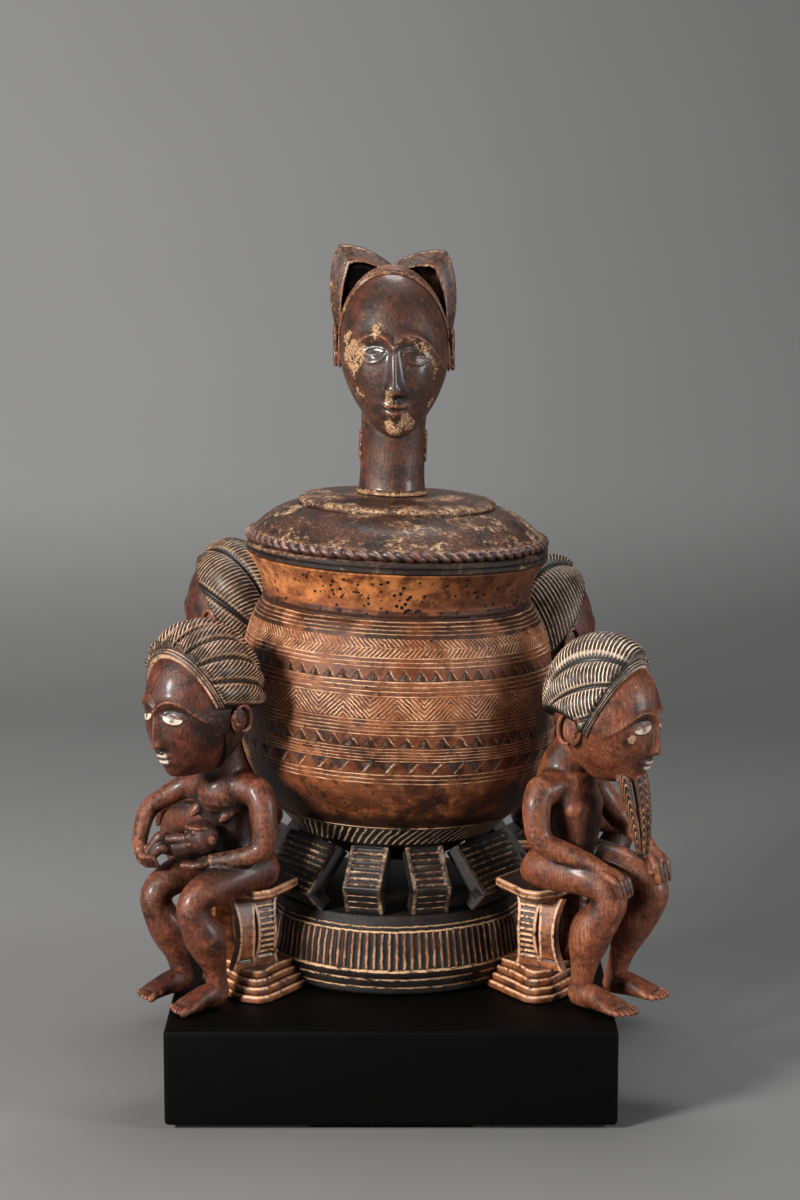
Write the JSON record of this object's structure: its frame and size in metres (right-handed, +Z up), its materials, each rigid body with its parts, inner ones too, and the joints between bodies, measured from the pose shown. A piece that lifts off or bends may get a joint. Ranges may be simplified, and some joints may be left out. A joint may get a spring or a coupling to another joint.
{
  "type": "figural ointment cup",
  "caption": "Lidded carved bowl on an open-work pedestal ringed by seated figures on stools, with a crested head on the lid and a block plinth.",
  "frame": {"origin": "on the floor under the middle of the plinth, which is under the bowl's axis", "axes": "+Z up, -Y towards the front of the plinth and the face of the head on the lid, +X towards the elder's side"},
  "size_m": [0.2811, 0.25, 0.4377],
  "materials": {
    "black_paint": "black paint with a low sheen, on a wooden block",
    "felt": "brown felt",
    "steel": "plain",
    "blackened_wood": "blackened, with the carved lines rubbed tan",
    "orange_wood": "polished orange brown, dark in the hollows",
    "dark_wood": "dark brown polish with flaked tan patches",
    "red_wood": "red-brown polish with black and tan hair",
    "stool_wood": "worn orange tan with dark flecks"
  },
  "bodies": {
    "stand": {"plinth": "black_paint", "felt_pad_1": "felt", "felt_pad_2": "felt", "felt_pad_3": "felt", "felt_pad_4": "felt", "mounting_pin_1": "steel", "mounting_pin_2": "steel", "foot": "blackened_wood", "narrow_strut_1": "blackened_wood", "narrow_strut_2": "blackened_wood", "narrow_strut_3": "blackened_wood", "narrow_strut_4": "blackened_wood", "wide_strut_1": "blackened_wood", "wide_strut_2": "blackened_wood", "wide_strut_3": "blackened_wood", "wide_strut_4": "blackened_wood", "collar": "blackened_wood", "bowl": "orange_wood", "stool_1": "stool_wood", "stool_2": "stool_wood", "stool_3": "stool_wood", "stool_4": "stool_wood", "mother": "red_wood", "infant": "red_wood", "elder": "red_wood", "back_right_figure": "red_wood", "back_left_figure": "red_wood"},
    "lid": {"lid": "dark_wood", "lid_head": "dark_wood"}
  },
  "joints": [
    {"name": "lid_lift", "type": "slide", "parent": "stand", "child": "lid", "axis": [0, 0, 1], "range_m": [0, 0.16]}
  ]
}
